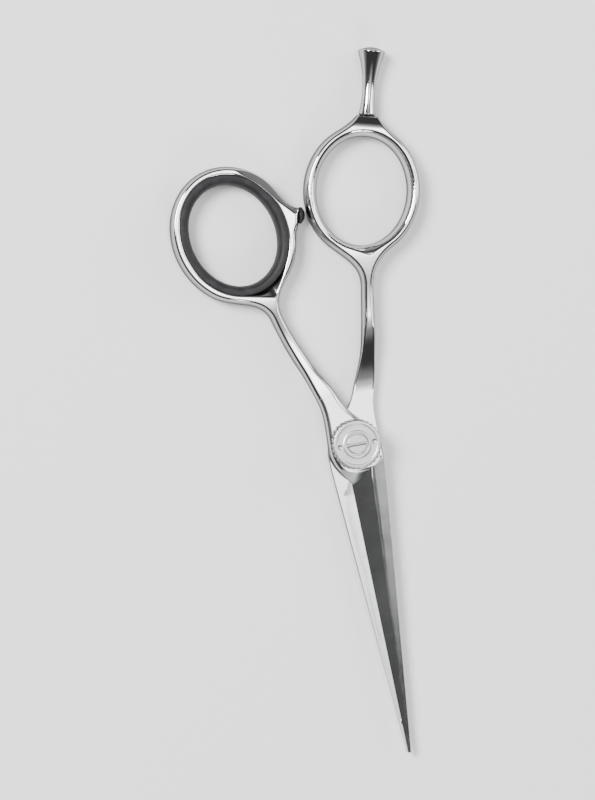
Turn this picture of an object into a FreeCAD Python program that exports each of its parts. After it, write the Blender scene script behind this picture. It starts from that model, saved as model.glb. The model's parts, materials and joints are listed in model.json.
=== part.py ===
"""Hair cutting shears with offset handles, a screw-in finger rest and a ball-bearing tension dial.

Millimetres. The shears lie closed on their flat side. The origin is on the pivot axis, at the
plane they rest on. +Z is the pivot axis, +Y points from the pivot to the finger rings, and the
tips point to -Y. The finger half lies below the thumb half.
"""

import FreeCAD, Part
import math
import os
import Sketcher
from FreeCAD import Placement, Rotation, Vector

doc = FreeCAD.newDocument("shears")

# ---------------------------------------------------------------- driving dimensions
SIZES = {
    # thickness of the pair, and the clearance each blade keeps from the middle plane
    "stack": 6.4,
    "half_gap": 0.02,
    # blade: tip to pivot, heel to pivot, and the sizes at tip and heel
    "blade_reach": 75.0,
    "heel_reach": 9.0,
    "tip_spine": 0.45,
    "heel_spine": 5.9,
    "tip_edge": 0.15,
    "heel_edge": 2.1,
    "tip_thick": 0.35,
    "tip_land": 0.2,
    "heel_land": 0.08,
    "spine_share": 0.7,
    "ridge_share": 0.42,
    # bevels run out on a cone round the pivot, and the inner face is hollow ground
    "boss_r": 6.3,
    "run_out_r": 6.7,
    "hollow": 0.12,
    "hollow_margin": 0.6,
    "hollow_start": 12.0,
    "hollow_end": 68.0,
    "hollow_run_out": 1.075,
    "hollow_fade": 0.12,
    # weld between blade and handle
    "weld_x": 4.6,
    "weld_y": 12.0,
    "weld_width": 5.0,
    "weld_turn": 20.0,
    # finger handle: ring, then two stations along the shank
    "finger_x": 12.65,
    "finger_y": 59.1,
    "finger_turn": 14.5,
    "finger_a": 14.0,
    "finger_b": 15.9,
    "finger_hole_a": 11.0,
    "finger_hole_b": 13.0,
    "finger_neck_x": 9.9,
    "finger_neck_y": 36.5,
    "finger_neck_turn": 9.6,
    "finger_waist_x": 7.6,
    "finger_waist_y": 22.5,
    "finger_waist_turn": 12.0,
    "finger_full_y": 46.0,
    # thumb handle, drawn mirrored and then turned over
    "thumb_x": 19.7,
    "thumb_y": 53.9,
    "thumb_turn": 16.0,
    "thumb_a": 14.7,
    "thumb_b": 16.8,
    "thumb_hole_a": 11.4,
    "thumb_hole_b": 13.6,
    "thumb_neck_x": 12.9,
    "thumb_neck_y": 32.6,
    "thumb_neck_turn": 15.0,
    "thumb_waist_x": 8.4,
    "thumb_waist_y": 20.5,
    "thumb_waist_turn": 23.0,
    "thumb_full_y": 38.0,
    # both handles
    "neck_width": 2.9,
    "waist_width": 3.3,
    "waist_inset": 0.6,
    "ring_bevel": 1.3,
    "ring_land": 2.0,
    "round_over": 1.2,
    # the inner bevel is drawn out to a corner where the shank meets the ring
    "finger_corner_x": 11.45,
    "finger_corner_y": 43.7,
    "thumb_corner_x": 12.0,
    "thumb_corner_y": 37.6,
    "corner_root": 1.02,
    "corner_overlap": 0.985,
    # boss for the finger rest, and the ear that carries the bumper
    "boss_reach": 18.0,
    "boss_width": 5.0,
    "ear_x": 3.35,
    "ear_y": 56.0,
    "ear_turn": 12.4,
    "ear_width": 3.5,
    # sloping facets on the boss and the ear
    "boss_facet_at": 15.3,
    "boss_slope": 17.0,
    "ear_facet_x": 4.9,
    "ear_facet_y": 56.9,
    "ear_facet_turn": 46.0,
    "ear_slope": 35.0,
    # finger rest
    "rest_length": 16.1,
    "rest_base_r": 2.03,
    "rest_waist_r": 1.5,
    "rest_waist_at": 5.3,
    "rest_head_r": 3.2,
    "rest_head_at": 14.9,
    "rest_brim_at": 15.35,
    "rest_brim_r": 2.95,
    "rest_washer": 0.3,
    "rest_stud_r": 1.25,
    "rest_thread_gap": 0.05,
    "rest_stud": 4.6,
    # bumper
    "bumper_r": 2.0,
    "bumper_out": 1.55,
    "bumper_side": 0.65,
    "bumper_stem_r": 0.9,
    "bumper_stem": 3.0,
    # rubber insert of the thumb ring
    "insert_hole_a": 10.1,
    "insert_hole_b": 12.3,
    "insert_flare": 0.8,
    "insert_inset": 0.12,
    # pivot
    "bolt_r": 1.75,
    "bolt_head_r": 3.4,
    "bolt_head": 0.9,
    "bolt_top": 8.1,
    "flat_depth": 0.3,
    "bush_r": 1.8,
    "bush_outer_r": 2.6,
    "glide_outer_r": 4.4,
    "glide_thick": 0.34,
    "bearing_r": 4.7,
    "bearing_depth": 1.0,
    "race_thick": 0.25,
    "race_inner_r": 2.75,
    "race_outer_r": 4.55,
    "ball_r": 0.44,
    "ball_circle_r": 3.7,
    "ball_count": 10,
    "cage_thick": 0.34,
    "cage_inner_r": 2.95,
    "cage_outer_r": 4.5,
    "spring_thick": 0.2,
    "spring_rise": 0.45,
    "click_thick": 0.15,
    "click_r": 4.0,
    "click_pits": 24,
    # tension dial
    "dial_r": 6.0,
    "dial_inner_r": 4.9,
    "dial_top": 8.9,
    "dial_ceiling": 7.5,
    "dial_chamfer": 0.45,
    "dial_grooves": 30,
    "dial_groove_r": 0.32,
    "nut_outer_r": 2.7,
    "nut_top": 8.3,
    "lock_head_r": 2.35,
    "lock_head": 0.5,
    "lock_stud_r": 0.8,
    "lock_length": 2.0,
    "slot_width": 0.7,
}

sheet = doc.addObject("Spreadsheet::Sheet", "Sizes")
for row, (name, number) in enumerate(SIZES.items(), start=1):
    sheet.set(f"A{row}", name)
    sheet.set(f"B{row}", str(number))
    sheet.setAlias(f"B{row}", name)
doc.recompute()


class Size:
    """A number from the sheet, together with the expression that gives it."""

    def __init__(self, number, text):
        self.number = float(number)
        self.text = text

    def joined(self, other, sign, number):
        text = other.text if isinstance(other, Size) else repr(float(other))
        return Size(number, f"({self.text} {sign} {text})")

    def __add__(self, other):
        return self.joined(other, "+", self.number + float(other))

    def __sub__(self, other):
        return self.joined(other, "-", self.number - float(other))

    def __mul__(self, other):
        return self.joined(other, "*", self.number * float(other))

    def __neg__(self):
        return Size(-self.number, f"(0 - {self.text})")

    def __float__(self):
        return self.number


def cell(name):
    """The sheet's value under this alias, as a Size."""
    return Size(getattr(sheet, name), f"Sizes.{name}")


def size(name):
    """The sheet's value under this alias, as a plain number."""
    return float(getattr(sheet, name))


ZERO = Size(0, "0")
MIDDLE = cell("stack") * 0.5
finger_face = MIDDLE - cell("half_gap")
thumb_face = MIDDLE + cell("half_gap")


# ---------------------------------------------------------------- PartDesign helpers
def new_body(label):
    body = doc.addObject("PartDesign::Body", label)
    body.Label = label
    return body


def new_sketch(body, name, plane, height=None):
    """A sketch on one of the body's own planes, raised along that plane's normal."""
    sketch = body.newObject("Sketcher::SketchObject", name)
    base = [f for f in body.Origin.OriginFeatures if f.Role == plane][0]
    sketch.AttachmentSupport = [(base, "")]
    sketch.MapMode = "FlatFace"
    if height is not None:
        sketch.AttachmentOffset = Placement(Vector(0, 0, float(height)), Rotation())
        sketch.setExpression("AttachmentOffset.Base.z", height.text)
    return sketch


def bind(sketch, constraint, value):
    index = sketch.addConstraint(constraint)
    sketch.setExpression(f"Constraints[{index}]", value.text)


def pin(sketch, edge, end, x, y):
    """Fixes an end of an edge at (x, y), measured from the sketch's origin."""
    for kind, value in (("DistanceX", x), ("DistanceY", y)):
        bind(sketch, Sketcher.Constraint(kind, -1, 1, edge, end, float(value)), value)


def arc_between(p, q, radius, side):
    """The short arc of this radius from p to q, with its centre on the given side."""
    middle = (p + q) * 0.5
    along = q - p
    reach = math.sqrt(radius**2 - along.Length**2 / 4)
    centre = middle + Vector(-along.y, along.x, 0).normalize() * reach * side
    circle = Part.Circle(centre, Vector(0, 0, 1), radius)
    start = math.atan2(p.y - centre.y, p.x - centre.x)
    stop = math.atan2(q.y - centre.y, q.x - centre.x)
    if side > 0:
        return Part.ArcOfCircle(circle, start, stop), 1, 2
    return Part.ArcOfCircle(circle, stop, start), 2, 1


def outline(sketch, corners, arcs=None):
    """A closed profile through corners of Sizes. arcs maps a corner to (radius, side)."""
    arcs = arcs or {}
    points = [Vector(float(x), float(y), 0) for x, y in corners]
    ends = []
    for i, p in enumerate(points):
        q = points[(i + 1) % len(points)]
        if i in arcs:
            radius, side = arcs[i]
            shape, first, last = arc_between(p, q, float(radius), side)
        else:
            shape, first, last = Part.LineSegment(p, q), 1, 2
        ends.append((sketch.addGeometry(shape), first, last))
    for i, (edge, first, last) in enumerate(ends):
        after, after_first, _ = ends[(i + 1) % len(ends)]
        sketch.addConstraint(Sketcher.Constraint("Coincident", edge, last, after, after_first))
        pin(sketch, edge, first, *corners[i])
        if i in arcs:
            bind(sketch, Sketcher.Constraint("Radius", edge, float(arcs[i][0])), arcs[i][0])


def circle(sketch, radius, x=ZERO, y=ZERO):
    shape = Part.Circle(Vector(float(x), float(y), 0), Vector(0, 0, 1), float(radius))
    edge = sketch.addGeometry(shape)
    bind(sketch, Sketcher.Constraint("Radius", edge, float(radius)), radius)
    if x is ZERO and y is ZERO:
        sketch.addConstraint(Sketcher.Constraint("Coincident", edge, 3, -1, 1))
    else:
        pin(sketch, edge, 3, x, y)


def pad(body, name, sketch, length):
    feature = body.newObject("PartDesign::Pad", name)
    feature.Profile = sketch
    feature.setExpression("Length", length.text)
    feature.Length = float(length)
    sketch.Visibility = False
    return feature


def pocket(body, name, sketch, depth, up=False):
    """A cut from the sketch down, or up if asked, which must remove something."""
    doc.recompute()
    before = body.Shape.Volume
    feature = body.newObject("PartDesign::Pocket", name)
    feature.Profile = sketch
    feature.setExpression("Length", depth.text)
    feature.Length = float(depth)
    feature.Reversed = up
    doc.recompute()
    assert body.Shape.Volume < before, f"{name} cut nothing"
    return feature


def revolve(body, name, sketch):
    feature = body.newObject("PartDesign::Revolution", name)
    feature.Profile = sketch
    feature.ReferenceAxis = (sketch, ["V_Axis"])
    feature.Angle = 360
    return feature


def polar(body, name, feature, count):
    """Repeats a feature round the body's Z axis."""
    pattern = body.newObject("PartDesign::PolarPattern", name)
    pattern.Originals = [feature]
    axis = [f for f in body.Origin.OriginFeatures if f.Role == "Z_Axis"][0]
    pattern.Axis = (axis, [""])
    pattern.Angle = 360
    pattern.setExpression("Occurrences", count.text)
    pattern.Occurrences = int(float(count))
    body.Tip = pattern
    return pattern


def turned(label, corners, arcs=None):
    """A body of revolution about Z, from a profile of (radius, height) corners."""
    body = new_body(label)
    sketch = new_sketch(body, label + "_profile", "XZ_Plane")
    outline(sketch, corners, arcs)
    revolve(body, label + "_turned", sketch)
    return body


def ring(label, inner, outer, low, thick):
    """A flat washer round the Z axis."""
    body = new_body(label)
    sketch = new_sketch(body, label + "_plan", "XY_Plane", low)
    circle(sketch, inner)
    circle(sketch, outer)
    pad(body, label + "_pad", sketch, thick)
    return body


def dome_radius(rim, rise):
    """The radius of a sphere's cap, from its rim's radius and its height."""
    number = (float(rim) ** 2 + float(rise) ** 2) / (2 * float(rise))
    return Size(number, f"({rim.text}^2 + {rise.text}^2) / (2 * {rise.text})")


def rectangle(sketch, low_x, high_x, low_y, high_y):
    outline(sketch, [(low_x, low_y), (high_x, low_y), (high_x, high_y), (low_x, high_y)])


# ---------------------------------------------------------------- free-form helpers
def bezier(start, start_way, end, end_way, pull=0.4):
    """A curve from start to end that leaves and arrives along the given directions."""
    reach = (end - start).Length * pull
    curve = Part.BezierCurve()
    curve.setPoles([start, start + start_way * reach, end - end_way * reach, end])
    return curve.toShape()


def heading(degrees):
    """The unit vector turned this far clockwise from +Y."""
    return Vector(math.sin(math.radians(degrees)), math.cos(math.radians(degrees)), 0)


class Oval:
    """An ellipse whose long axis is turned clockwise from +Y. Angles run from the short axis."""

    def __init__(self, x, y, turn, a, b):
        self.centre = Vector(x, y, 0)
        self.long = heading(turn)
        self.short = heading(turn + 90)
        self.a = a
        self.b = b

    def grown(self, amount):
        other = Oval(self.centre.x, self.centre.y, 0, self.a + amount, self.b + amount)
        other.long = self.long
        other.short = self.short
        return other

    def point(self, angle):
        t = math.radians(angle)
        return self.centre + self.short * self.a * math.cos(t) + self.long * self.b * math.sin(t)

    def way(self, angle):
        t = math.radians(angle)
        along = self.short * -self.a * math.sin(t) + self.long * self.b * math.cos(t)
        return along.normalize()

    def curve(self, height=0.0):
        up = Vector(0, 0, height)
        return Part.Ellipse(
            self.centre + self.long * self.b + up,
            self.centre - self.short * self.a + up,
            self.centre + up,
        )

    def arc(self, start, stop):
        ends = (math.radians(start - 90), math.radians(stop - 90))
        return Part.ArcOfEllipse(self.curve(), *ends).toShape()

    def wire(self, height):
        return Part.Wire([self.curve(height).toShape()])


def shank_sides(who):
    """Left and right (point, direction) pairs at the weld, the waist and the neck."""
    stations = [
        (size("weld_x"), size("weld_y"), size("weld_turn"), size("weld_width")),
        (
            size(who + "_waist_x"),
            size(who + "_waist_y"),
            size(who + "_waist_turn"),
            size("waist_width"),
        ),
        (
            size(who + "_neck_x"),
            size(who + "_neck_y"),
            size(who + "_neck_turn"),
            size("neck_width"),
        ),
    ]
    left, right = [], []
    for x, y, turn, width in stations:
        across = heading(turn + 90) * (width / 2)
        left.append((Vector(x, y, 0) - across, heading(turn)))
        right.append((Vector(x, y, 0) + across, heading(turn)))
    # the weld itself is cut square, at one height
    for side, sign in ((left, -1), (right, 1)):
        side[0] = (
            Vector(size("weld_x") + sign * size("weld_width") / 2, size("weld_y"), 0),
            side[0][1],
        )
    return left, right


def handle_plan(who, oval, leave, arrive, extra, leave_extra, arrive_extra):
    """The handle's outline: up the shank's right side, round the ring past its extra, and down.

    leave and arrive are the ring angles where the shank's right and left sides meet it. extra
    holds the two corners of the boss or ear with the directions of the curves that reach them.
    """
    left, right = shank_sides(who)
    edges = [bezier(*right[i], *right[i + 1], 0.34) for i in range(2)]
    edges.append(bezier(*right[2], oval.point(leave), oval.way(leave)))
    (first, first_way), (second, second_way) = extra
    edges.append(oval.arc(leave - 360, leave_extra))
    edges.append(bezier(oval.point(leave_extra), oval.way(leave_extra), first, first_way))
    edges.append(Part.LineSegment(first, second).toShape())
    edges.append(bezier(second, second_way, oval.point(arrive_extra), oval.way(arrive_extra)))
    edges.append(oval.arc(arrive_extra, arrive))
    down = [(point, way * -1) for point, way in left]
    edges.append(bezier(oval.point(arrive), oval.way(arrive), *down[2]))
    edges += [bezier(*down[i + 1], *down[i], 0.34) for i in (1, 0)]
    edges.append(Part.LineSegment(left[0][0], right[0][0]).toShape())
    return Part.Face(Part.Wire(edges))


def side_profile(who):
    """The handle seen from the side, in the YZ plane, for the half that lies below."""
    top, face, inset = size("stack"), float(finger_face), size("waist_inset")
    weld, full = size("weld_y"), size(who + "_full_y")
    waist = (size(who + "_waist_y") + size(who + "_neck_y")) / 2
    far = 110.0

    def at(y, z):
        return Vector(0, y, z)

    level = Vector(0, 1, 0)
    edges = [
        bezier(at(weld, 0), level, at(waist, inset), level),
        bezier(at(waist, inset), level, at(full, 0), level),
        Part.LineSegment(at(full, 0), at(far, 0)).toShape(),
        Part.LineSegment(at(far, 0), at(far, top)).toShape(),
        Part.LineSegment(at(far, top), at(full, top)).toShape(),
        bezier(at(full, top), level * -1, at(waist, top - inset), level * -1),
        bezier(at(waist, top - inset), level * -1, at(weld, face), level * -1),
        Part.LineSegment(at(weld, face), at(weld, 0)).toShape(),
    ]
    return Part.Face(Part.Wire(edges))


def corner_section(oval, corner, middle, spread, height):
    """A triangle from just inside the oval out to the corner, at this height."""
    points = [oval.point(middle - spread), oval.point(middle + spread)]
    points = [oval.centre + (p - oval.centre) * size("corner_overlap") for p in points]
    corners = [points[0], corner, points[1], points[0]]
    return Part.makePolygon([p + Vector(0, 0, height) for p in corners])


def ring_openings(who, hole, bevel):
    """The space inside a ring, bevelled to both faces, and the two corners by the shank."""
    top, land = size("stack"), size("ring_land")
    low, high = (top - land) / 2, (top + land) / 2
    slack = 0.5
    stretch = 1 + slack / low
    wide = hole.grown(bevel * stretch)
    wires = [wide.wire(-slack), hole.wire(low), hole.wire(high), wide.wire(top + slack)]

    corner = Vector(size(who + "_corner_x"), size(who + "_corner_y"), 0)
    way = corner - hole.centre
    face = hole.grown(bevel)
    across, along = way.dot(face.short) / face.a, way.dot(face.long) / face.b
    middle = math.degrees(math.atan2(along, across))
    spread = math.degrees(math.acos(1 / math.hypot(across, along)))
    reach = math.hypot(way.dot(hole.short) / hole.a, way.dot(hole.long) / hole.b)
    root = hole.centre + way * (size("corner_root") / reach)
    far = root + (corner - root) * stretch
    openings = [Part.makeLoft(wires, True, True)]
    for inner, outer in ((low, -slack), (high, top + slack)):
        sections = [
            corner_section(hole, root, middle, spread, inner),
            corner_section(wide, far, middle, spread, outer),
        ]
        openings.append(Part.makeLoft(sections, True, True))
    return openings


def rounded(shape, radius, keep):
    """Rounds over every edge that keep accepts, and says how many there were."""
    edges = [e for e in shape.Edges if keep(e)]
    return shape.makeFillet(radius, edges)


def near_outline(shape, oval, faces_z):
    """True for the long outer edges of the top and bottom, which are the ones to round over."""
    weld = size("weld_y")

    def keep(edge):
        first, last = edge.ParameterRange
        points = [edge.valueAt(first + (last - first) * t) for t in (0.02, 0.5, 0.98)]
        if any(p.y < weld + 0.01 for p in points):
            return False
        outside = all(outside_hole(oval, p) for p in points)
        return outside and all(faces_z(p) for p in points)

    return keep


def outside_hole(oval, p):
    """True where p is further out than the middle of the ring's band."""
    d = p - oval.centre
    a, b = oval.a - size("ring_bevel") / 2, oval.b - size("ring_bevel") / 2
    return (d.dot(oval.short) / a) ** 2 + (d.dot(oval.long) / b) ** 2 > 1


def below(p, q, r):
    """A block that fills everything under the plane through three points."""
    normal = (q - p).cross(r - p).normalize()
    if normal.z < 0:
        normal = normal * -1
    block = Part.makeBox(300, 300, 20, Vector(-150, -150, -20))
    block.Placement = Placement(p, Rotation(Vector(0, 0, 1), normal))
    return block


def facetted(shape, point, way, tilt):
    """Slopes both faces away beyond the line through a point, square to a direction."""
    side = Vector(-way.y, way.x, 0)
    rise = way + Vector(0, 0, math.tan(math.radians(tilt)))
    low = below(point, point + side, point + rise)
    high = low.copy()
    high.rotate(point + Vector(0, 0, float(MIDDLE)), way, 180)
    return shape.cut(low).cut(high)


def solid_feature(label, shape):
    """A finished free-form solid as an object of the document."""
    feature = doc.addObject("Part::Feature", label)
    feature.Label = label
    feature.Shape = shape
    return feature


def turned_over(shape):
    """The shape turned half a turn about the line along Y in the middle plane."""
    copy = shape.copy()
    copy.rotate(Vector(0, 0, float(MIDDLE)), Vector(0, 1, 0), 180)
    return copy


# ---------------------------------------------------------------- handles
def handle_blank(who, oval, hole, leave, arrive, extra, leave_extra, arrive_extra):
    plan = handle_plan(who, oval, leave, arrive, extra, leave_extra, arrive_extra)
    block = plan.extrude(Vector(0, 0, size("stack")))
    side = side_profile(who)
    side.translate(Vector(-60, 0, 0))
    blank = block.common(side.extrude(Vector(120, 0, 0))).removeSplitter()
    blank = blank.Solids[0]

    top = size("stack")

    def level(p):
        return not 0.7 < p.z < top - 0.7

    keep = near_outline(blank, oval, level)
    try:
        blank = rounded(blank, size("round_over"), keep)
    except Exception as error:
        print(who, "round over failed", error)
    for opening in ring_openings(who, hole, size("ring_bevel")):
        blank = blank.cut(opening)
    return blank


def finger_handle():
    oval = Oval(*(size("finger_" + k) for k in ("x", "y", "turn", "a", "b")))
    hole = Oval(*(size("finger_" + k) for k in ("x", "y", "turn", "hole_a", "hole_b")))
    across, out = oval.short * (size("boss_width") / 2), oval.long
    top = oval.centre + out * size("boss_reach")
    turn = size("finger_turn")
    extra = ((top + across, heading(turn - 38)), (top - across, heading(turn + 180 + 38)))
    blank = handle_blank("finger", oval, hole, 309, 240, extra, 57, 123)
    crest = oval.centre + out * size("boss_facet_at")
    blank = facetted(blank, crest, out, size("boss_slope"))
    drill_r = size("rest_stud_r") + size("rest_thread_gap")
    start = oval.centre + out * (size("finger_hole_b") - 2) + Vector(0, 0, float(MIDDLE))
    return blank.cut(Part.makeCylinder(drill_r, 12, start, out))


def thumb_handle():
    oval = Oval(*(size("thumb_" + k) for k in ("x", "y", "turn", "a", "b")))
    hole = Oval(*(size("thumb_" + k) for k in ("x", "y", "turn", "hole_a", "hole_b")))
    turn = size("ear_turn")
    middle = Vector(size("ear_x"), size("ear_y"), 0)
    across = heading(-turn) * (size("ear_width") / 2)
    extra = ((middle + across, heading(turn - 120)), (middle - across, heading(turn + 155)))
    blank = handle_blank("thumb", oval, hole, 319, 240, extra, 148, 205)
    crest = Vector(size("ear_facet_x"), size("ear_facet_y"), 0)
    blank = facetted(blank, crest, heading(-size("ear_facet_turn")), size("ear_slope"))
    inward = heading(90 - turn)
    start = middle + Vector(0, 0, float(MIDDLE)) - inward * 2
    drill = Part.makeCylinder(size("bumper_stem_r"), size("bumper_stem") + 2, start, inward)
    return turned_over(blank.cut(drill))


# ---------------------------------------------------------------- blades
def hollow_section(share, fade=1.0):
    """The hollow's round-bottomed outline, share 0 at its far end and 1 at the heel."""
    start, end = size("hollow_start"), size("hollow_end")
    y = -end + (end - start) * share
    along = (size("blade_reach") + y) / (size("blade_reach") - size("heel_reach"))
    spine = -size("tip_spine") - (size("heel_spine") - size("tip_spine")) * along
    edge = size("tip_edge") + (size("heel_edge") - size("tip_edge")) * along
    margin = size("hollow_margin") * (0.2 + 0.8 * share)
    depth = size("hollow") * (0.2 + 0.8 * share)
    top = float(finger_face) + 0.01
    middle, half = (spine + edge) / 2, ((edge - spine) / 2 - margin) * fade
    left, right = Vector(middle - half, y, top), Vector(middle + half, y, top)
    bottom = Vector(middle, y, top - (depth + 0.01) * fade)
    arc = Part.Arc(left, bottom, right).toShape()
    return Part.Wire([arc, Part.LineSegment(right, left).toShape()])


def blade_blank():
    """The lower blade with its pivot boss and the stub that is welded to the handle."""
    face, reach, heel = float(finger_face), size("blade_reach"), size("heel_reach")
    boss, turn = size("boss_r"), size("weld_turn")
    spine_tip, edge_tip = Vector(-size("tip_spine"), -reach, 0), Vector(size("tip_edge"), -reach, 0)
    spine_heel, edge_heel = Vector(-size("heel_spine"), -heel, 0), Vector(size("heel_edge"), -heel, 0)
    weld_low = Vector(size("weld_x") - size("weld_width") / 2, size("weld_y"), 0)
    weld_high = weld_low + Vector(size("weld_width"), 0, 0)
    right, left = Vector(boss, -0.6, 0), Vector(-boss, -2.4, 0)
    up, down = heading(turn), heading(turn + 180)

    # the boss, with the sides of its outer face rounded over
    spine_way = (spine_tip - spine_heel).normalize()
    edges = [
        bezier(edge_heel, heading(45), right, heading(0), 0.36),
        bezier(right, heading(0), weld_high, up, 0.36),
        Part.LineSegment(weld_high, weld_low).toShape(),
        bezier(weld_low, down, left, heading(180), 0.42),
        bezier(left, heading(180), spine_heel, spine_way, 0.36),
        Part.LineSegment(spine_heel, edge_heel).toShape(),
    ]
    plate = Part.Face(Part.Wire(edges)).extrude(Vector(0, 0, face))

    def outer_side(edge):
        first, last = edge.ParameterRange
        points = [edge.valueAt(first + (last - first) * t) for t in (0.02, 0.5, 0.98)]
        level = all(abs(p.z) < 0.001 for p in points)
        return level and abs(points[0].y - points[2].y) > 1

    plate = rounded(plate, size("round_over"), outer_side)
    corners = [spine_tip, edge_tip, edge_heel, spine_heel]
    strip = Part.Face(Part.makePolygon(corners + corners[:1])).extrude(Vector(0, 0, face))
    blank = plate.fuse(strip).removeSplitter()

    # the outer face: a bevel to the edge and a shallow one to the spine, meeting in a ridge
    ridge_x = spine_heel.x + (edge_heel.x - spine_heel.x) * size("ridge_share")
    ridge_heel = Vector(ridge_x, -heel, 0)
    lift = Vector(0, 0, face)
    edge_low = edge_tip + lift - Vector(0, 0, size("tip_land"))
    edge_high = edge_heel + lift - Vector(0, 0, size("heel_land"))
    spine_low = spine_tip + lift - Vector(0, 0, size("tip_thick"))
    spine_high = spine_heel + Vector(0, 0, face * (1 - size("spine_share")))
    run_out = Part.makeCone(size("run_out_r"), size("run_out_r") + face, face)
    behind = Part.makeBox(60, 60, face, Vector(-30, -2.9, 0))
    for p, q in ((edge_low, edge_high), (spine_low, spine_high)):
        blank = blank.cut(below(p, q, ridge_heel).cut(run_out).cut(behind))

    # the inner face: a long shallow hollow that leaves a narrow flat along the edge, and
    # that fades out before the flat round the pivot
    fade = size("hollow_fade")
    sections = [hollow_section(0), hollow_section(1), hollow_section(size("hollow_run_out"), fade)]
    for first, last in zip(sections, sections[1:]):
        blank = blank.cut(Part.makeLoft([first, last], True, True))
    return blank.removeSplitter().Solids[0]


def finger_blade():
    blank = blade_blank()
    face = float(finger_face)
    through = Part.makeCylinder(size("bolt_r"), 20, Vector(0, 0, -5))
    head = Part.makeCylinder(size("bolt_head_r"), size("bolt_head") + 5, Vector(0, 0, -5))
    seat = Part.makeCylinder(
        size("glide_outer_r"), 5, Vector(0, 0, face - size("glide_thick"))
    )
    return blank.cut(through).cut(head).cut(seat)


def thumb_blade():
    blank = turned_over(blade_blank())
    through = Part.makeCylinder(size("bush_outer_r"), 20, Vector(0, 0, -5))
    floor = size("stack") - size("bearing_depth")
    seat = Part.makeCylinder(size("bearing_r"), 5, Vector(0, 0, floor))
    return blank.cut(through).cut(seat)


solid_feature("finger_blade", finger_blade())
solid_feature("finger_handle", finger_handle())
solid_feature("thumb_blade", thumb_blade())
solid_feature("thumb_handle", thumb_handle())


# ---------------------------------------------------------------- thumb ring insert
def insert_shell():
    """The rubber insert fills the thumb ring's bevels and leaves a smaller, rounded hole."""
    hole = Oval(*(size("thumb_" + k) for k in ("x", "y", "turn", "hole_a", "hole_b")))
    inner = Oval(
        size("thumb_x"),
        size("thumb_y"),
        size("thumb_turn"),
        size("insert_hole_a"),
        size("insert_hole_b"),
    )
    top, land, inset = size("stack"), size("ring_land"), size("insert_inset")
    low, high = (top - land) / 2, (top + land) / 2
    lip = size("ring_bevel") * (low - inset) / low
    flare = inner.grown(size("insert_flare"))
    outside = Part.makeLoft(
        [
            hole.grown(lip).wire(inset),
            hole.wire(low),
            hole.wire(high),
            hole.grown(lip).wire(top - inset),
        ],
        True,
        True,
    )
    inside = Part.makeLoft(
        [
            flare.wire(inset),
            inner.wire(low - 0.4),
            inner.wire(high + 0.4),
            flare.wire(top - inset),
        ],
        True,
        True,
    )
    return turned_over(outside.cut(inside))


solid_feature("thumb_ring_insert", insert_shell())


# ---------------------------------------------------------------- finger rest
def build_finger_rest():
    """The trumpet-shaped rest, with its washer, standing on the ring's boss."""
    length, head_r, head_at = cell("rest_length"), cell("rest_head_r"), cell("rest_head_at")
    reach = size("rest_head_at") - size("rest_waist_at")
    flare = Size(
        reach**2 / (2 * (size("rest_head_r") - size("rest_waist_r"))),
        "(Sizes.rest_head_at - Sizes.rest_waist_at)^2"
        " / (2 * (Sizes.rest_head_r - Sizes.rest_waist_r))",
    )
    stud, stud_r = cell("rest_stud"), cell("rest_stud_r")
    brim, brim_r = cell("rest_brim_at"), cell("rest_brim_r")
    corners = [
        (ZERO, -stud),
        (stud_r - 0.25, -stud),
        (stud_r, -stud + 0.25),
        (stud_r, ZERO),
        (cell("rest_base_r"), ZERO),
        (head_r, head_at),
        (brim_r, brim),
        (ZERO, length),
    ]
    arcs = {4: (flare, -1), 6: (dome_radius(brim_r, length - brim), 1)}
    rest = turned("finger_rest", corners, arcs)
    washer = ring(
        "finger_rest_washer",
        stud_r + 0.05,
        cell("rest_base_r") - 0.1,
        -cell("rest_washer"),
        cell("rest_washer"),
    )
    turn = size("finger_turn")
    out = heading(turn)
    foot = Vector(size("finger_x"), size("finger_y"), float(MIDDLE))
    foot += out * (size("boss_reach") + size("rest_washer"))
    for body in (rest, washer):
        body.Placement = Placement(foot, Rotation(Vector(0, 0, 1), out))


build_finger_rest()


# ---------------------------------------------------------------- bumper
def build_bumper():
    """The rubber silencer: a dome on a stem that is pressed into the thumb ring's ear."""
    r, out, stem_r = cell("bumper_r"), cell("bumper_out"), cell("bumper_stem_r")
    stem, side = cell("bumper_stem"), cell("bumper_side")
    corners = [
        (ZERO, -stem + 0.1),
        (stem_r, -stem + 0.1),
        (stem_r, ZERO),
        (r, ZERO),
        (r, side),
        (ZERO, out),
    ]
    body = turned("bumper", corners, {4: (dome_radius(r, out - side), 1)})
    turn = size("ear_turn")
    ear = Vector(-size("ear_x"), size("ear_y"), float(MIDDLE))
    body.Placement = Placement(ear, Rotation(Vector(0, 0, 1), heading(90 + turn)))


build_bumper()


# ---------------------------------------------------------------- pivot
def build_pivot_bolt():
    """A flush round head below, and a stud with two flats for the click plate above."""
    r, top = cell("bolt_r"), cell("bolt_top")
    thread_r = cell("lock_stud_r") + 0.05
    depth = top - cell("lock_length")
    corners = [
        (ZERO, ZERO),
        (cell("bolt_head_r") - 0.1, ZERO),
        (cell("bolt_head_r"), ZERO + 0.1),
        (cell("bolt_head_r"), cell("bolt_head")),
        (r, cell("bolt_head")),
        (r, top),
        (thread_r, top),
        (thread_r, depth),
        (ZERO, depth),
    ]
    body = turned("pivot_bolt", corners)
    for side, name in ((1, "right_flat"), (-1, "left_flat")):
        sketch = new_sketch(body, name + "_plan", "XY_Plane", top)
        near = (r - cell("flat_depth")) * side
        far = (r + 1) * side
        low, high = (near, far) if side > 0 else (far, near)
        rectangle(sketch, low, high, -(r + 1), r + 1)
        pocket(body, name, sketch, top - cell("stack") - 0.1)
    return body


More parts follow.
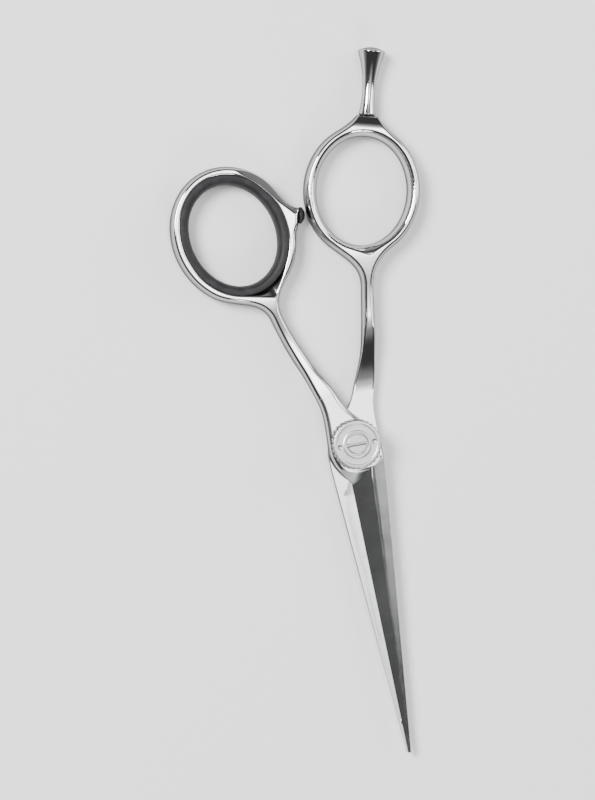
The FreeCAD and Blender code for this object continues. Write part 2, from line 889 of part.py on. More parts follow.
def build_click_plate():
    """A thin disc keyed to the bolt's flats, with three arms whose ends click in the dial."""
    body = new_body("click_plate")
    low, thick = cell("dial_ceiling") - 0.3, cell("click_thick")
    plan = new_sketch(body, "click_plan", "XY_Plane", low)
    circle(plan, cell("race_outer_r") - 0.2)
    pad(body, "click_disc", plan, thick)
    hole = new_sketch(body, "click_hole_plan", "XY_Plane", low + thick)
    flat = cell("bolt_r") - cell("flat_depth") + 0.03
    reach = cell("bolt_r") + 0.03
    side = Size(
        math.sqrt(float(reach) ** 2 - float(flat) ** 2),
        f"sqrt({reach.text}^2 - {flat.text}^2)",
    )
    corners = [(flat, -side), (flat, side), (-flat, side), (-flat, -side)]
    outline(hole, corners, {1: (reach, 1), 3: (reach, 1)})
    pocket(body, "click_hole", hole, thick)
    arm = new_sketch(body, "click_window_plan", "XY_Plane", low + thick)
    rectangle(arm, cell("race_outer_r") - 1.7, cell("race_outer_r") - 1.2, -cell("bolt_r"), cell("bolt_r"))
    window = pocket(body, "click_window", arm, thick)
    polar(body, "click_windows", window, Size(3, "3"))
    bump = new_sketch(body, "click_bump_plan", "XY_Plane", low + thick)
    circle(bump, Size(0.2, "0.2"), cell("click_r"), ZERO + 0.0)
    polar(body, "click_bumps", pad(body, "click_bump", bump, Size(0.1, "0.1")), Size(3, "3"))
    return body


def build_dial():
    """The knurled dial, hollow below to cover the bearing, with two spanner holes on top."""
    r, top, chamfer = cell("dial_r"), cell("dial_top"), cell("dial_chamfer")
    low = cell("stack") + 0.08
    corners = [
        (cell("nut_outer_r"), cell("dial_ceiling")),
        (cell("dial_inner_r"), cell("dial_ceiling")),
        (cell("dial_inner_r"), low),
        (r - 0.15, low),
        (r, low + 0.15),
        (r, top - chamfer),
        (r - chamfer, top),
        (cell("nut_outer_r"), top),
    ]
    body = turned("tension_dial", corners)
    groove = new_sketch(body, "groove_plan", "XY_Plane", top + 0.01)
    circle(groove, cell("dial_groove_r"), r + 0.12, ZERO + 0.0)
    cut = pocket(body, "groove", groove, top - low - 0.3)
    polar(body, "grooves", cut, cell("dial_grooves"))
    doc.recompute()
    holes = new_sketch(body, "spanner_plan", "XY_Plane", top)
    circle(holes, Size(0.55, "0.55"), Size(4.2, "4.2"), ZERO + 0.0)
    circle(holes, Size(0.55, "0.55"), Size(-4.2, "-4.2"), ZERO + 0.0)
    pocket(body, "spanner_holes", holes, Size(0.7, "0.7"))
    pit = new_sketch(body, "pit_plan", "XY_Plane", cell("dial_ceiling"))
    circle(pit, Size(0.25, "0.25"), cell("click_r"), ZERO + 0.0)
    cut = pocket(body, "pit", pit, Size(0.12, "0.12"), True)
    polar(body, "pits", cut, cell("click_pits"))
    return body


def build_lock_screw():
    """The small slotted screw that keeps the dial's nut on the bolt."""
    low = cell("nut_top") + 0.06
    stud, r = cell("lock_stud_r"), cell("lock_head_r")
    top = low + cell("lock_head")
    bottom = low - cell("lock_length") + 0.3
    corners = [
        (ZERO, bottom),
        (stud, bottom),
        (stud, low),
        (r, low),
        (r, top - 0.12),
        (r - 0.12, top),
        (ZERO, top),
    ]
    body = turned("lock_screw", corners)
    slot = new_sketch(body, "slot_plan", "XY_Plane", top)
    half = cell("slot_width") * 0.5
    rectangle(slot, -(r + 1), r + 1, -half, half)
    pocket(body, "slot", slot, Size(0.28, "0.28"))
    return body


def build_bearing():
    """Lower race, caged balls, upper race and cone spring, from the thumb blade upwards."""
    floor = cell("stack") - cell("bearing_depth")
    inner, outer, thick = cell("race_inner_r"), cell("race_outer_r"), cell("race_thick")
    ring("lower_race", inner, outer, floor, thick)
    centre = floor + thick + cell("ball_r") + 0.01
    cage = ring(
        "ball_cage",
        cell("cage_inner_r"),
        cell("cage_outer_r"),
        centre - cell("cage_thick") * 0.5,
        cell("cage_thick"),
    )
    hole = new_sketch(cage, "cage_hole_plan", "XY_Plane", centre + cell("cage_thick") * 0.5)
    circle(hole, cell("ball_r") + 0.03, cell("ball_circle_r"), ZERO + 0.0)
    cut = pocket(cage, "cage_hole", hole, cell("cage_thick"))
    polar(cage, "cage_holes", cut, cell("ball_count"))
    count = int(size("ball_count"))
    balls = []
    for i in range(count):
        turn = 2 * math.pi * i / count
        at = Vector(math.cos(turn), math.sin(turn), 0) * size("ball_circle_r")
        at.z = float(centre)
        balls.append(Part.makeSphere(size("ball_r"), at))
    solid_feature("bearing_balls", Part.makeCompound(balls))
    upper = centre + cell("ball_r") + 0.01
    ring("upper_race", cell("bolt_r") + 0.1, outer, upper, thick - 0.05)
    foot = upper + thick - 0.04
    rise, metal = cell("spring_rise"), cell("spring_thick")
    rim, eye = outer - 0.2, cell("bolt_r") + 0.15
    corners = [(rim, foot), (rim, foot + metal), (eye, foot + rise), (eye, foot + rise - metal)]
    turned("cone_spring", corners)


build_pivot_bolt()
ring(
    "glide_washer",
    cell("bolt_r") + 0.1,
    cell("glide_outer_r") - 0.05,
    finger_face - cell("glide_thick"),
    cell("glide_thick") + cell("half_gap"),
)
bush_low = thumb_face + 0.02
ring(
    "pivot_bush",
    cell("bush_r"),
    cell("bush_outer_r"),
    bush_low,
    cell("stack") - bush_low - 0.15,
)
build_bearing()
build_click_plate()
build_dial()
ring(
    "dial_nut",
    cell("bolt_r") + 0.05,
    cell("nut_outer_r"),
    cell("dial_ceiling") - 0.1,
    cell("nut_top") - cell("dial_ceiling") + 0.1,
)
build_lock_screw()

# ---------------------------------------------------------------- check and write
doc.recompute()
NODES = [
    o
    for o in doc.Objects
    if o.TypeId == "PartDesign::Body" or (o.TypeId == "Part::Feature")
]
for o in doc.Objects:
    bad = [s for s in o.State if s in ("Invalid", "Error")]
    assert not bad, f"{o.Label} is {bad}"
os.makedirs("parts", exist_ok=True)
for node in NODES:
    shape = node.Shape
    assert not shape.isNull() and shape.isValid(), f"{node.Label} has no valid shape"
    assert shape.Solids and all(s.Volume > 0 for s in shape.Solids), node.Label
    shape.exportStep(f"parts/{node.Label}.step")
    box = shape.BoundBox
    print(
        f"{node.Label:20s} {len(shape.Solids):2d} solids {shape.Volume:9.2f} mm3 "
        f"x {box.XMin:6.2f} {box.XMax:6.2f}  y {box.YMin:6.2f} {box.YMax:6.2f}  z {box.ZMin:5.2f} {box.ZMax:5.2f}"
    )
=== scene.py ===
# %% [markdown]
# # Hair cutting shears, one piece at a time
#
# This lesson builds the looks of a closed pair of hair cutting shears around its CAD frame. The
# frame gives every part its place, in metres, so nothing here is fitted by eye. Curved polished
# steel shows every facet, so the handles, the rest and the dial are made again as fine smooth
# meshes, while flat-ground parts keep the CAD's own shape.

# %% Load the frame and keep its box
import json
import math

import bmesh
import bpy
import numpy as np
import openvdb
from mathutils import Matrix, Vector
from mathutils.kdtree import KDTree


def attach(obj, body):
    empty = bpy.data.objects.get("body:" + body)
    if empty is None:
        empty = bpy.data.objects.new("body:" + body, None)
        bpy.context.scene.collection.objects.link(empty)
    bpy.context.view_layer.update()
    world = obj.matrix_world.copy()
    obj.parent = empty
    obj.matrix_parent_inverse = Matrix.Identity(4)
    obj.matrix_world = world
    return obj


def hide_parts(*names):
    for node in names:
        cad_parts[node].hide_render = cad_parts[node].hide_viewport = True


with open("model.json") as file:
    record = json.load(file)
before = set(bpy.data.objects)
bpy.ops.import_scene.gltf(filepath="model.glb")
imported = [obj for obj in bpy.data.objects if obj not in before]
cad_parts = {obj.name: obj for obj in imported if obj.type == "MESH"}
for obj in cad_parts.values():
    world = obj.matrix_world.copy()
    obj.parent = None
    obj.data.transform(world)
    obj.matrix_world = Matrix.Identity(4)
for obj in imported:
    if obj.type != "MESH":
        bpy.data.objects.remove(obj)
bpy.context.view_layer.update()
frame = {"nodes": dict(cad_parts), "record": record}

# %% [markdown]
# ## Writing materials as sums
#
# A finish is a small sum: a base roughness, plus smudges, plus scratches. Blender's nodes can be
# placed one by one, but then the sum is hard to read. The class below wraps a socket, so that
# `0.08 + smudge * 0.05` adds the Math nodes by itself.

# %% A socket that can be added and multiplied
class Wire:
    def __init__(self, finish, socket):
        self.finish = finish
        self.socket = socket

    def math(self, operation, *others):
        settings = {"operation": operation}
        return self.finish.node("ShaderNodeMath", settings, dict(enumerate(others)))

    def __add__(self, other):
        return self.math("ADD", self, other)

    def __mul__(self, other):
        return self.math("MULTIPLY", self, other)

    def __pow__(self, other):
        return self.math("POWER", self, other)

    __radd__ = __add__
    __rmul__ = __mul__

    def between(self, low, high):
        """0 below low, 1 above high, and smooth in between."""
        settings = {"interpolation_type": "SMOOTHSTEP", "clamp": True}
        inputs = {"Value": self, "From Min": low, "From Max": high}
        return self.finish.node("ShaderNodeMapRange", settings, inputs)


class Finish:
    """A material with one Principled shader, and a method that adds any other node."""

    def __init__(self, name, **constants):
        self.material = bpy.data.materials.new(name)
        self.material.use_nodes = True
        self.nodes = self.material.node_tree.nodes
        self.links = self.material.node_tree.links
        self.shader = self.nodes["Principled BSDF"]
        self.set(**constants)

    def node(self, kind, settings=None, inputs=None, out=0):
        made = self.nodes.new(kind)
        for key, value in (settings or {}).items():
            setattr(made, key, value)
        for key, value in (inputs or {}).items():
            self.join(made.inputs[key], value)
        return Wire(self, made.outputs[out])

    def join(self, socket, value):
        if isinstance(value, Wire):
            self.links.new(value.socket, socket)
        else:
            socket.default_value = value

    def set(self, **values):
        for key, value in values.items():
            self.join(self.shader.inputs[key.replace("_", " ")], value)

    def place(self, scale=(1, 1, 1), turn=(0, 0, 0)):
        """Object coordinates, stretched and turned."""
        coords = self.node("ShaderNodeTexCoord", out=3)
        turns = tuple(math.radians(t) for t in turn)
        inputs = {"Vector": coords, "Scale": scale, "Rotation": turns}
        return self.node("ShaderNodeMapping", {}, inputs)

    def noise(self, scale, detail=3.0, at=None, rough=0.5):
        inputs = {"Scale": scale, "Detail": detail, "Roughness": rough}
        inputs["Vector"] = self.place() if at is None else at
        return self.node("ShaderNodeTexNoise", {"noise_dimensions": "3D"}, inputs)

    def mix(self, amount, one, other):
        settings = {"data_type": "RGBA"}
        return self.node("ShaderNodeMix", settings, {0: amount, 6: one, 7: other}, out=2)

    def bump(self, height, depth, strength=1.0):
        inputs = {"Height": height, "Distance": depth, "Strength": strength}
        self.set(Normal=self.node("ShaderNodeBump", {}, inputs))


print("A finish is now written as a sum")

# %% [markdown]
# ## The steels
#
# Salon shears are mirror polished, but a used mirror isn't perfect. Under a lamp it shows fine
# hairlines in many directions, a faint haze where fingers hold it, and a slight waviness from the
# polishing wheel. Each of these is one term, small enough that the part still reads as a mirror.
#
# One value is not real steel's. Walls seen at a grazing angle mirror the pale table and would
# vanish into it, so the tint at that angle is made darker than any steel's.

# %% Hairlines and the polished steel
GRAZING = (0.16, 0.16, 0.165, 1)


def hairlines(finish, turns, fine=2600, thin=70):
    """Thin lines in a few directions: noise that is stretched a lot along one axis."""
    lines = None
    for turn in turns:
        at = finish.place((thin, fine, thin), (0, 0, turn))
        line = finish.noise(1.0, 2.0, at).between(0.62, 0.76)
        lines = line if lines is None else lines + line
    return lines


def polished_steel():
    finish = Finish("polished steel", Metallic=1.0, Specular_Tint=GRAZING)
    haze = finish.noise(140, 4.0).between(0.42, 0.75)
    lines = hairlines(finish, (18, 74, 131))
    finish.set(
        Roughness=0.065 + haze * 0.06 + lines * 0.05,
        Base_Color=finish.mix(haze, (0.50, 0.50, 0.50, 1), (0.42, 0.42, 0.425, 1)),
    )
    wave = finish.noise(210, 1.0)
    finish.bump(wave + lines * -0.02, 0.00002, 0.6)
    return finish.material


def ground_steel():
    """The blades: polished, with the close lines of the wheel running across them."""
    finish = Finish("ground steel", Metallic=1.0, Specular_Tint=GRAZING)
    across = finish.place((60, 5200, 60), (0, 0, 4))
    grind = finish.noise(1.0, 3.0, across)
    haze = finish.noise(90, 3.0).between(0.35, 0.8)
    lines = hairlines(finish, (8, 96))
    finish.set(
        Roughness=0.10 + grind * 0.07 + haze * 0.05 + lines * 0.04,
        Base_Color=finish.mix(grind, (0.60, 0.605, 0.615, 1), (0.50, 0.505, 0.515, 1)),
    )
    finish.bump(grind + lines * -0.3, 0.0000035, 0.5)
    return finish.material


def satin_steel():
    """Turned pivot parts: circular tool marks round the pivot axis."""
    finish = Finish("satin steel", Metallic=1.0, Specular_Tint=GRAZING)
    x, y = (finish.node("ShaderNodeSeparateXYZ", {}, {0: finish.place()}, out=i) for i in (0, 1))
    radius = (x * x + y * y) ** 0.5
    rings = finish.node("ShaderNodeCombineXYZ", {}, {0: radius * 5200.0, 1: 0.0, 2: 0.0})
    marks = finish.noise(1.0, 2.0, rings)
    haze = finish.noise(300, 3.0)
    finish.set(
        Roughness=0.20 + marks * 0.16 + haze * 0.06,
        Base_Color=finish.mix(haze, (0.50, 0.50, 0.505, 1), (0.39, 0.39, 0.40, 1)),
    )
    finish.bump(marks, 0.000004, 0.5)
    return finish.material


def spring_steel():
    finish = Finish("spring steel", Metallic=1.0)
    tint = finish.noise(260, 3.0)
    finish.set(
        Roughness=0.28 + tint * 0.12,
        Base_Color=finish.mix(tint, (0.42, 0.43, 0.46, 1), (0.30, 0.30, 0.34, 1)),
    )
    finish.bump(finish.noise(2600, 2.0), 0.000004, 0.4)
    return finish.material


# %% [markdown]
# ## Rubber, nylon and brass
#
# The thumb insert and the bumper are moulded black rubber. Rubber is never quite black: it has a
# broad soft gloss, a fine grain from the mould, and a little lint and skin grease that lifts the
# black in patches. The hidden bush, cage and washer get plain but textured finishes of their own.

# %% The softer finishes
def black_rubber():
    finish = Finish("black rubber", IOR=1.5, Specular_IOR_Level=0.3)
    grain = finish.noise(5200, 2.0)
    worn = finish.noise(330, 5.0, rough=0.6).between(0.45, 0.72)
    lint = finish.noise(1500, 1.0).between(0.70, 0.78)
    finish.set(
        Roughness=0.52 + worn * 0.14 + grain * 0.06,
        Base_Color=finish.mix(
            worn * 0.8 + lint * 0.3, (0.008, 0.008, 0.009, 1), (0.024, 0.024, 0.026, 1)
        ),
    )
    finish.bump(grain + worn * 0.6, 0.00001, 0.7)
    return finish.material


def white_nylon():
    finish = Finish("white nylon", IOR=1.53, Subsurface_Weight=0.15)
    cloud = finish.noise(400, 3.0)
    finish.set(
        Roughness=0.38 + cloud * 0.16,
        Base_Color=finish.mix(cloud, (0.86, 0.85, 0.81, 1), (0.77, 0.76, 0.71, 1)),
    )
    finish.bump(cloud, 0.00001, 0.5)
    return finish.material


def brass():
    finish = Finish("brass", Metallic=1.0)
    tarnish = finish.noise(420, 4.0).between(0.4, 0.75)
    finish.set(
        Roughness=0.22 + tarnish * 0.18,
        Base_Color=finish.mix(tarnish, (0.83, 0.62, 0.27, 1), (0.56, 0.39, 0.17, 1)),
    )
    finish.bump(tarnish, 0.000006, 0.4)
    return finish.material


FINISHES = {
    "polished_steel": polished_steel(),
    "blade_steel": ground_steel(),
    "hardware_steel": satin_steel(),
    "spring_steel": spring_steel(),
    "black_rubber": black_rubber(),
    "white_nylon": white_nylon(),
    "brass": brass(),
}
SLOTS = {part["node"]: part["material_slot"] for part in frame["record"]["subparts"]}
HOME = {
    node: body for body, nodes in frame["record"]["behaviour"]["bodies"].items() for node in nodes
}
print("finishes:", ", ".join(sorted(FINISHES)))

# %% [markdown]
# ## Putting a finished piece in its place
#
# Every piece that is made here takes over from one CAD node: it moves with that node's body, and
# takes its finish from the same slot. One helper says all of this, so that no piece is forgotten.

# %% Make a mesh in millimetres, and hand a piece over
def new_piece(name, points, faces, smooth=True):
    """A mesh object from points in millimetres."""
    mesh = bpy.data.meshes.new(name)
    mesh.from_pydata(np.asarray(points, float) / 1000, [], [list(map(int, f)) for f in faces])
    mesh.update()
    mesh.shade_smooth() if smooth else mesh.shade_flat()
    piece = bpy.data.objects.new(name, mesh)
    bpy.context.collection.objects.link(piece)
    return piece


def hand_over(piece, node):
    """The piece stands for this CAD node from here on."""
    piece.data.materials.clear()
    piece.data.materials.append(FINISHES[SLOTS[node]])
    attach(piece, HOME[node])
    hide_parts(node)
    print(f"{piece.name}: {len(piece.data.polygons)} faces, rides on {HOME[node]}")


# %% [markdown]
# ## The plan of a handle
#
# Seen from above, a handle is a shank that swells into an oval ring. The finger ring carries a
# boss for the rest, and the thumb ring an ear for the bumper. The outline is a chain of arcs of
# the oval and short curves, the same chain that the CAD uses, so both keep the same size. The
# thumb handle is drawn mirrored and turned over at the end.

# %% Curves in the plan
MIDDLE = 3.2  # height of the plane between the halves
BLADE_FACE = 3.18  # height of the lower blade's inner face
WELD_Y = 12.0  # where each handle is welded to its blade


def heading(degrees):
    """The direction turned this far clockwise from +Y."""
    return np.array([math.sin(math.radians(degrees)), math.cos(math.radians(degrees))])


def curve(start, start_way, end, end_way, pull=0.4, steps=90):
    """Points along a curve that leaves and arrives in the given directions."""
    start, end = np.asarray(start, float), np.asarray(end, float)
    reach = np.linalg.norm(end - start) * pull
    poles = [start, start + start_way * reach, end - end_way * reach, end]
    t = np.linspace(0, 1, steps, endpoint=False)[:, None]
    weights = [(1 - t) ** 3, 3 * t * (1 - t) ** 2, 3 * t * t * (1 - t), t**3]
    return sum(w * p for w, p in zip(weights, poles))


class Oval:
    """An ellipse whose long axis is turned clockwise from +Y."""

    def __init__(self, centre, turn, a, b):
        self.centre = np.asarray(centre, float)
        self.turn, self.a, self.b = turn, a, b
        self.long, self.short = heading(turn), heading(turn + 90)

    def grown(self, amount):
        return Oval(self.centre, self.turn, self.a + amount, self.b + amount)

    def point(self, angle):
        t = np.radians(angle)
        across, along = self.a * np.cos(t), self.b * np.sin(t)
        sideways = np.multiply.outer(across, self.short)
        lengthwise = np.multiply.outer(along, self.long)
        return self.centre + sideways + lengthwise

    def way(self, angle):
        t = math.radians(angle)
        along = self.short * -self.a * math.sin(t) + self.long * self.b * math.cos(t)
        return along / np.linalg.norm(along)

    def arc(self, start, stop, spacing=0.12):
        count = int(abs(math.radians(stop - start)) * max(self.a, self.b) / spacing) + 2
        return self.point(np.linspace(start, stop, count, endpoint=False))

    def teardrop(self, corner):
        """The oval drawn out to a corner by its two tangents."""
        way = corner - self.centre
        across, along = way @ self.short / self.a, way @ self.long / self.b
        middle = math.degrees(math.atan2(along, across))
        spread = math.degrees(math.acos(1 / math.hypot(across, along)))
        first, last = self.point(middle + spread), self.point(middle - spread)
        t = np.linspace(0, 1, 60, endpoint=False)[:, None]
        arc = self.arc(middle + spread, middle - spread + 360)
        return np.vstack([arc, last + (corner - last) * t, corner + (first - corner) * t])


def handle_plan(oval, stations, leave, arrive, corners, ways, leave_extra, arrive_extra):
    """The outline of a handle, carried on past the weld so that the weld can be cut square."""
    left, right = [], []
    for (x, y), turn, width in stations:
        across = heading(turn + 90) * width / 2
        left.append((np.array([x, y]) - across, heading(turn)))
        right.append((np.array([x, y]) + across, heading(turn)))
    width = stations[0][2]
    for side, sign in ((left, -1), (right, 1)):
        side[0] = (np.array([stations[0][0][0] + sign * width / 2, WELD_Y]), side[0][1])
    below = right[0][0] - right[0][1] * 4, left[0][0] - left[0][1] * 4
    (first, second), (first_way, second_way) = corners, ways
    down = [(point, -way) for point, way in left]
    runs = [curve(*right[i], *right[i + 1], 0.34) for i in range(2)]
    runs.append(curve(*right[2], oval.point(leave), oval.way(leave)))
    runs.append(oval.arc(leave - 360, leave_extra))
    runs.append(curve(oval.point(leave_extra), oval.way(leave_extra), first, first_way))
    runs.append(first + (second - first) * np.linspace(0, 1, 30, endpoint=False)[:, None])
    runs.append(curve(second, second_way, oval.point(arrive_extra), oval.way(arrive_extra)))
    runs.append(oval.arc(arrive_extra, arrive))
    runs.append(curve(oval.point(arrive), oval.way(arrive), *down[2]))
    runs += [curve(*down[i + 1], *down[i], 0.34) for i in (1, 0)]
    t = np.linspace(0, 1, 40, endpoint=False)[:, None]
    runs.append(left[0][0] + (below[1] - left[0][0]) * t)
    runs.append(below[1] + (below[0] - below[1]) * t)
    runs.append(below[0] + (right[0][0] - below[0]) * t)
    return np.vstack(runs)


# %% [markdown]
# ## From a plan to a polished solid
#
# A subdivision cage could carry a ring, but the bevel that is drawn out to a corner, the boss and
# the ear would each need their own patches. Here the handle is a rule instead: for any point in
# space, how deep is it in the steel? The rule joins three surfaces, which are the rounded outer
# side, the bevel inside the ring and the straight wall of the hole, and eases their meeting
# lines as a polishing wheel does. OpenVDB turns the rule into quads, and each point is then moved
# onto the surface in four small steps.

# %% How far a point lies from an outline
class Outline:
    """A closed chain of points, and how far any place lies outside it."""

    def __init__(self, points):
        self.points = points
        self.tree = KDTree(len(points))
        for i, (x, y) in enumerate(points):
            self.tree.insert((x, y, 0), i)
        self.tree.balance()

    def nearest(self, where):
        return np.array([self.tree.find((x, y, 0))[1] for x, y in where])

    def outside(self, where, near):
        """Signed distance: below zero inside an outline that runs anticlockwise."""
        count = len(self.points)
        best = np.full(len(where), np.inf)
        found = np.zeros((len(where), 2))
        for step in (-2, -1, 0, 1):
            a = self.points[(near + step) % count]
            b = self.points[(near + step + 1) % count]
            along = b - a
            t = ((where - a) * along).sum(1) / np.maximum((along**2).sum(1), 1e-12)
            foot = a + along * np.clip(t, 0, 1)[:, None]
            away = np.hypot(*(where - foot).T)
            closer = away < best
            best[closer], found[closer] = away[closer], foot[closer]
        tangent = self.points[(near + 1) % count] - self.points[(near - 1) % count]
        off = where - found
        side = tangent[:, 0] * off[:, 1] - tangent[:, 1] * off[:, 0]
        return np.where(side > 0, -best, best)


def ease(one, other, width):
    """The larger of two, with their meeting line rounded over this width."""
    gap = np.maximum(width - np.abs(one - other), 0)
    return np.maximum(one, other) + gap**2 / (4 * width)


print("outlines can be measured")

# %% The rule for a handle
ROUND = 1.2  # how far in the rounding of the outer side reaches
LAND = 2.0  # height of the straight wall of the hole
BEVEL = 1.3  # width of the bevel inside the ring
INSET = 0.6  # how far the waist of the shank lies below the ring's faces
FOLD = 1.1  # how far from its line the fold is softened
FOLD_REACH = 4  # and how far from the corner
SIDE_POWER = 2.2  # an ellipse has 2, and more is squarer
SQUARE_REACH = 16  # how far from the weld the sides are squarer
SQUARE_ABOVE, SQUARE_BELOW = 9, 0.3  # what that adds to the power, on the inner and outer face
LEAST_UP = 0.001  # keeps the rule below zero in the very middle of the steel
EASE_HOLE, EASE_SIDE, EASE_FACET = 0.25, 0.26, 0.22


def side_heights(waist_y, full_y):
    """Lower and upper height of the handle along y, as tables to look up."""
    level = np.array([1.0, 0.0])
    low = np.vstack([
        curve((WELD_Y, 0), level, (waist_y, INSET), level, steps=400),
        curve((waist_y, INSET), level, (full_y, 0), level, steps=400),
        [[full_y, 0]],
    ])
    top = 2 * MIDDLE
    high = np.vstack([
        curve((WELD_Y, BLADE_FACE), level, (waist_y, top - INSET), level, steps=400),
        curve((waist_y, top - INSET), level, (full_y, top), level, steps=400),
        [[full_y, top]],
    ])
    return low, high


class Handle:
    """The rule for one handle: how deep any point in space lies in its steel."""

    def __init__(self, plan, hole, corner, heights, facets=(), swell=1.0):
        self.outlines = [
            Outline(plan),
            Outline(hole.arc(0, 360)),
            Outline(hole.grown(BEVEL).teardrop(corner)),
        ]
        self.corner = np.asarray(corner, float)
        tip = self.outlines[2].points
        root = int(np.argmin(np.hypot(*(tip - self.corner).T)))
        sides = [tip[(root + step) % len(tip)] - self.corner for step in (-8, 8)]
        self.sides = [side / np.linalg.norm(side) for side in sides]
        self.low, self.high = heights
        self.facets, self.swell = facets, swell

    def near(self, where):
        """The nearest point of each outline, found once and used at every height."""
        return [outline.nearest(where) for outline in self.outlines]

    def depth(self, where, z, near, cut=True):
        """Above zero outside the steel and below zero inside it, in millimetres."""
        out, hole, wide = (o.outside(where, n) for o, n in zip(self.outlines, near))
        low = np.interp(where[:, 1], self.low[:, 0], self.low[:, 1])
        high = np.interp(where[:, 1], self.high[:, 0], self.high[:, 1])
        half = (high - low) / 2
        offset = z - (high + low) / 2
        lift = np.abs(offset)

        # the outer side: nearly half an ellipse, but square at the inner face by the pivot
        square = np.clip(1 - (where[:, 1] - WELD_Y) / SQUARE_REACH, 0, 1)
        power = SIDE_POWER + np.where(offset > 0, SQUARE_ABOVE * square, SQUARE_BELOW * square)
        side = np.maximum(out + ROUND, 0) / ROUND
        up = np.maximum(lift / half, LEAST_UP)
        sides, ups = side**power, up**power
        total = sides + ups
        scale = (sides * ROUND + ups * half) / total
        shell = (total ** (1 / power) - 1) * scale

        # the fold that runs down from the corner is softened
        off = where - self.corner
        left, right = (np.abs(off[:, 0] * s[1] - off[:, 1] * s[0]) for s in self.sides)
        close = np.hypot(*off.T) < FOLD_REACH
        fold = np.maximum(FOLD - np.abs(left - right), 0) ** 2 / (4 * FOLD)
        wide = wide + np.where(close & (wide < 0), fold, 0)

        # the bevel inside the ring, which reaches the face where wide is zero
        width = np.maximum(hole - wide, 0.4)
        share = hole / width
        rise = (1 - np.clip(1 - share, 0, 1) ** self.swell) ** (1 / self.swell)
        limit = LAND / 2 + (MIDDLE - LAND / 2) * (rise + np.maximum(share - 1, 0))
        slope = np.cos(np.arctan((MIDDLE - LAND / 2) / width))
        bevel = (lift - limit) * slope
        solid = ease(shell, ease(bevel, -hole, EASE_HOLE), EASE_SIDE)

        # flat facets on the boss or the ear, the same above and below
        for point, way, tilt in self.facets:
            over = (where - point) @ way
            plane = (lift - MIDDLE) * math.cos(tilt) + over * math.sin(tilt)
            solid = ease(solid, plane, EASE_FACET)
        return np.maximum(solid, WELD_Y - where[:, 1]) if cut else solid


# %% Quads from the rule
def solid_mesh(handle, step=0.2):
    """Points, quads and surface directions of a handle, with points this far apart."""
    plan = handle.outlines[0].points
    low = np.array([*plan.min(0), 0.0]) - 3 * step
    high = np.array([*plan.max(0), 2 * MIDDLE]) + 3 * step
    low[1] = WELD_Y - 3 * step
    axes = [np.arange(a, b, step) for a, b in zip(low, high)]
    x, y = np.meshgrid(axes[0], axes[1], indexing="ij")
    flat = np.column_stack([x.ravel(), y.ravel()])
    near = handle.near(flat)
    volume = np.empty((len(axes[0]), len(axes[1]), len(axes[2])), np.float32)
    for k, z in enumerate(axes[2]):
        volume[:, :, k] = handle.depth(flat, np.full(len(flat), z), near).reshape(x.shape)
    grid = openvdb.FloatGrid(10.0)
    grid.copyFromArray(np.clip(volume, -3, 3))
    points, quads = grid.convertToQuads(0.0)
    points = low + np.asarray(points, float) * step

    def steepest(points, near, reach, cut=True):
        """The depth at each point and the way in which it grows fastest."""
        here = handle.depth(points[:, :2], points[:, 2], near, cut)
        slopes = []
        for axis in range(3):
            pair = []
            for sign in (1, -1):
                moved = points.copy()
                moved[:, axis] += sign * reach
                pair.append(handle.depth(moved[:, :2], moved[:, 2], near, cut))
            slopes.append((pair[0] - pair[1]) / (2 * reach))
        return here, np.column_stack(slopes)

    near = handle.near(points[:, :2])
    for _ in range(4):
        here, slopes = steepest(points, near, 0.01)
        size = np.maximum((slopes**2).sum(1), 0.05)
        move = slopes * (here / size)[:, None]
        points -= np.clip(move, -step / 2, step / 2)
    _, ways = steepest(points, near, 0.05, cut=False)
    ways /= np.maximum(np.linalg.norm(ways, axis=1), 1e-9)[:, None]
    return points, quads, ways


def shade_by(piece, ways):
    """Shades a piece by the rule's own directions, which are smoother than its faces."""
    piece.data.normals_split_custom_set_from_vertices([tuple(way) for way in ways])


def outward(piece):
    """Recalculates the faces of a closed mesh so that they point outwards."""
    work = bmesh.new()
    work.from_mesh(piece.data)
    bmesh.ops.recalc_face_normals(work, faces=work.faces)
    if work.calc_volume(signed=True) < 0:
        bmesh.ops.reverse_faces(work, faces=work.faces)
    work.to_mesh(piece.data)
    volume = work.calc_volume(signed=True) * 1e9
    work.free()
    return volume


# %% [markdown]
# ## The finger handle
#
# It carries the larger, plain ring. Its shank is slim and oval. A boss at the far end of the ring
# takes the finger rest, and its faces fall away a little towards the rest.

# %% Make the finger handle
FINGER_CENTRE, FINGER_TURN = (12.65, 59.1), 14.5
BOSS_FLARE = 38
finger_oval = Oval(FINGER_CENTRE, FINGER_TURN, 14.0, 15.9)
finger_hole = Oval(FINGER_CENTRE, FINGER_TURN, 11.0, 13.0)
boss_top = finger_oval.centre + finger_oval.long * 18.0
across = finger_oval.short * 2.5
finger_plan = handle_plan(
    finger_oval,
    [((4.6, WELD_Y), 20.0, 5.0), ((7.6, 22.5), 12.0, 3.3), ((9.9, 36.5), 9.6, 2.9)],
    309,
    240,
    (boss_top + across, boss_top - across),
    (heading(FINGER_TURN - BOSS_FLARE), heading(FINGER_TURN + 180 + BOSS_FLARE)),
    57,
    123,
)
boss_facet = (finger_oval.centre + finger_oval.long * 15.3, finger_oval.long, math.radians(17))
finger_rule = Handle(
    finger_plan,
    finger_hole,
    np.array([11.45, 43.7]),
    side_heights((22.5 + 36.5) / 2, 46.0),
    [boss_facet],
    swell=1.3,
)
points, quads, ways = solid_mesh(finger_rule)
finger_handle = new_piece("finger_handle_skin", points, quads)
print(f"finger handle: {outward(finger_handle):.0f} mm3")
shade_by(finger_handle, ways)
hand_over(finger_handle, "finger_handle")

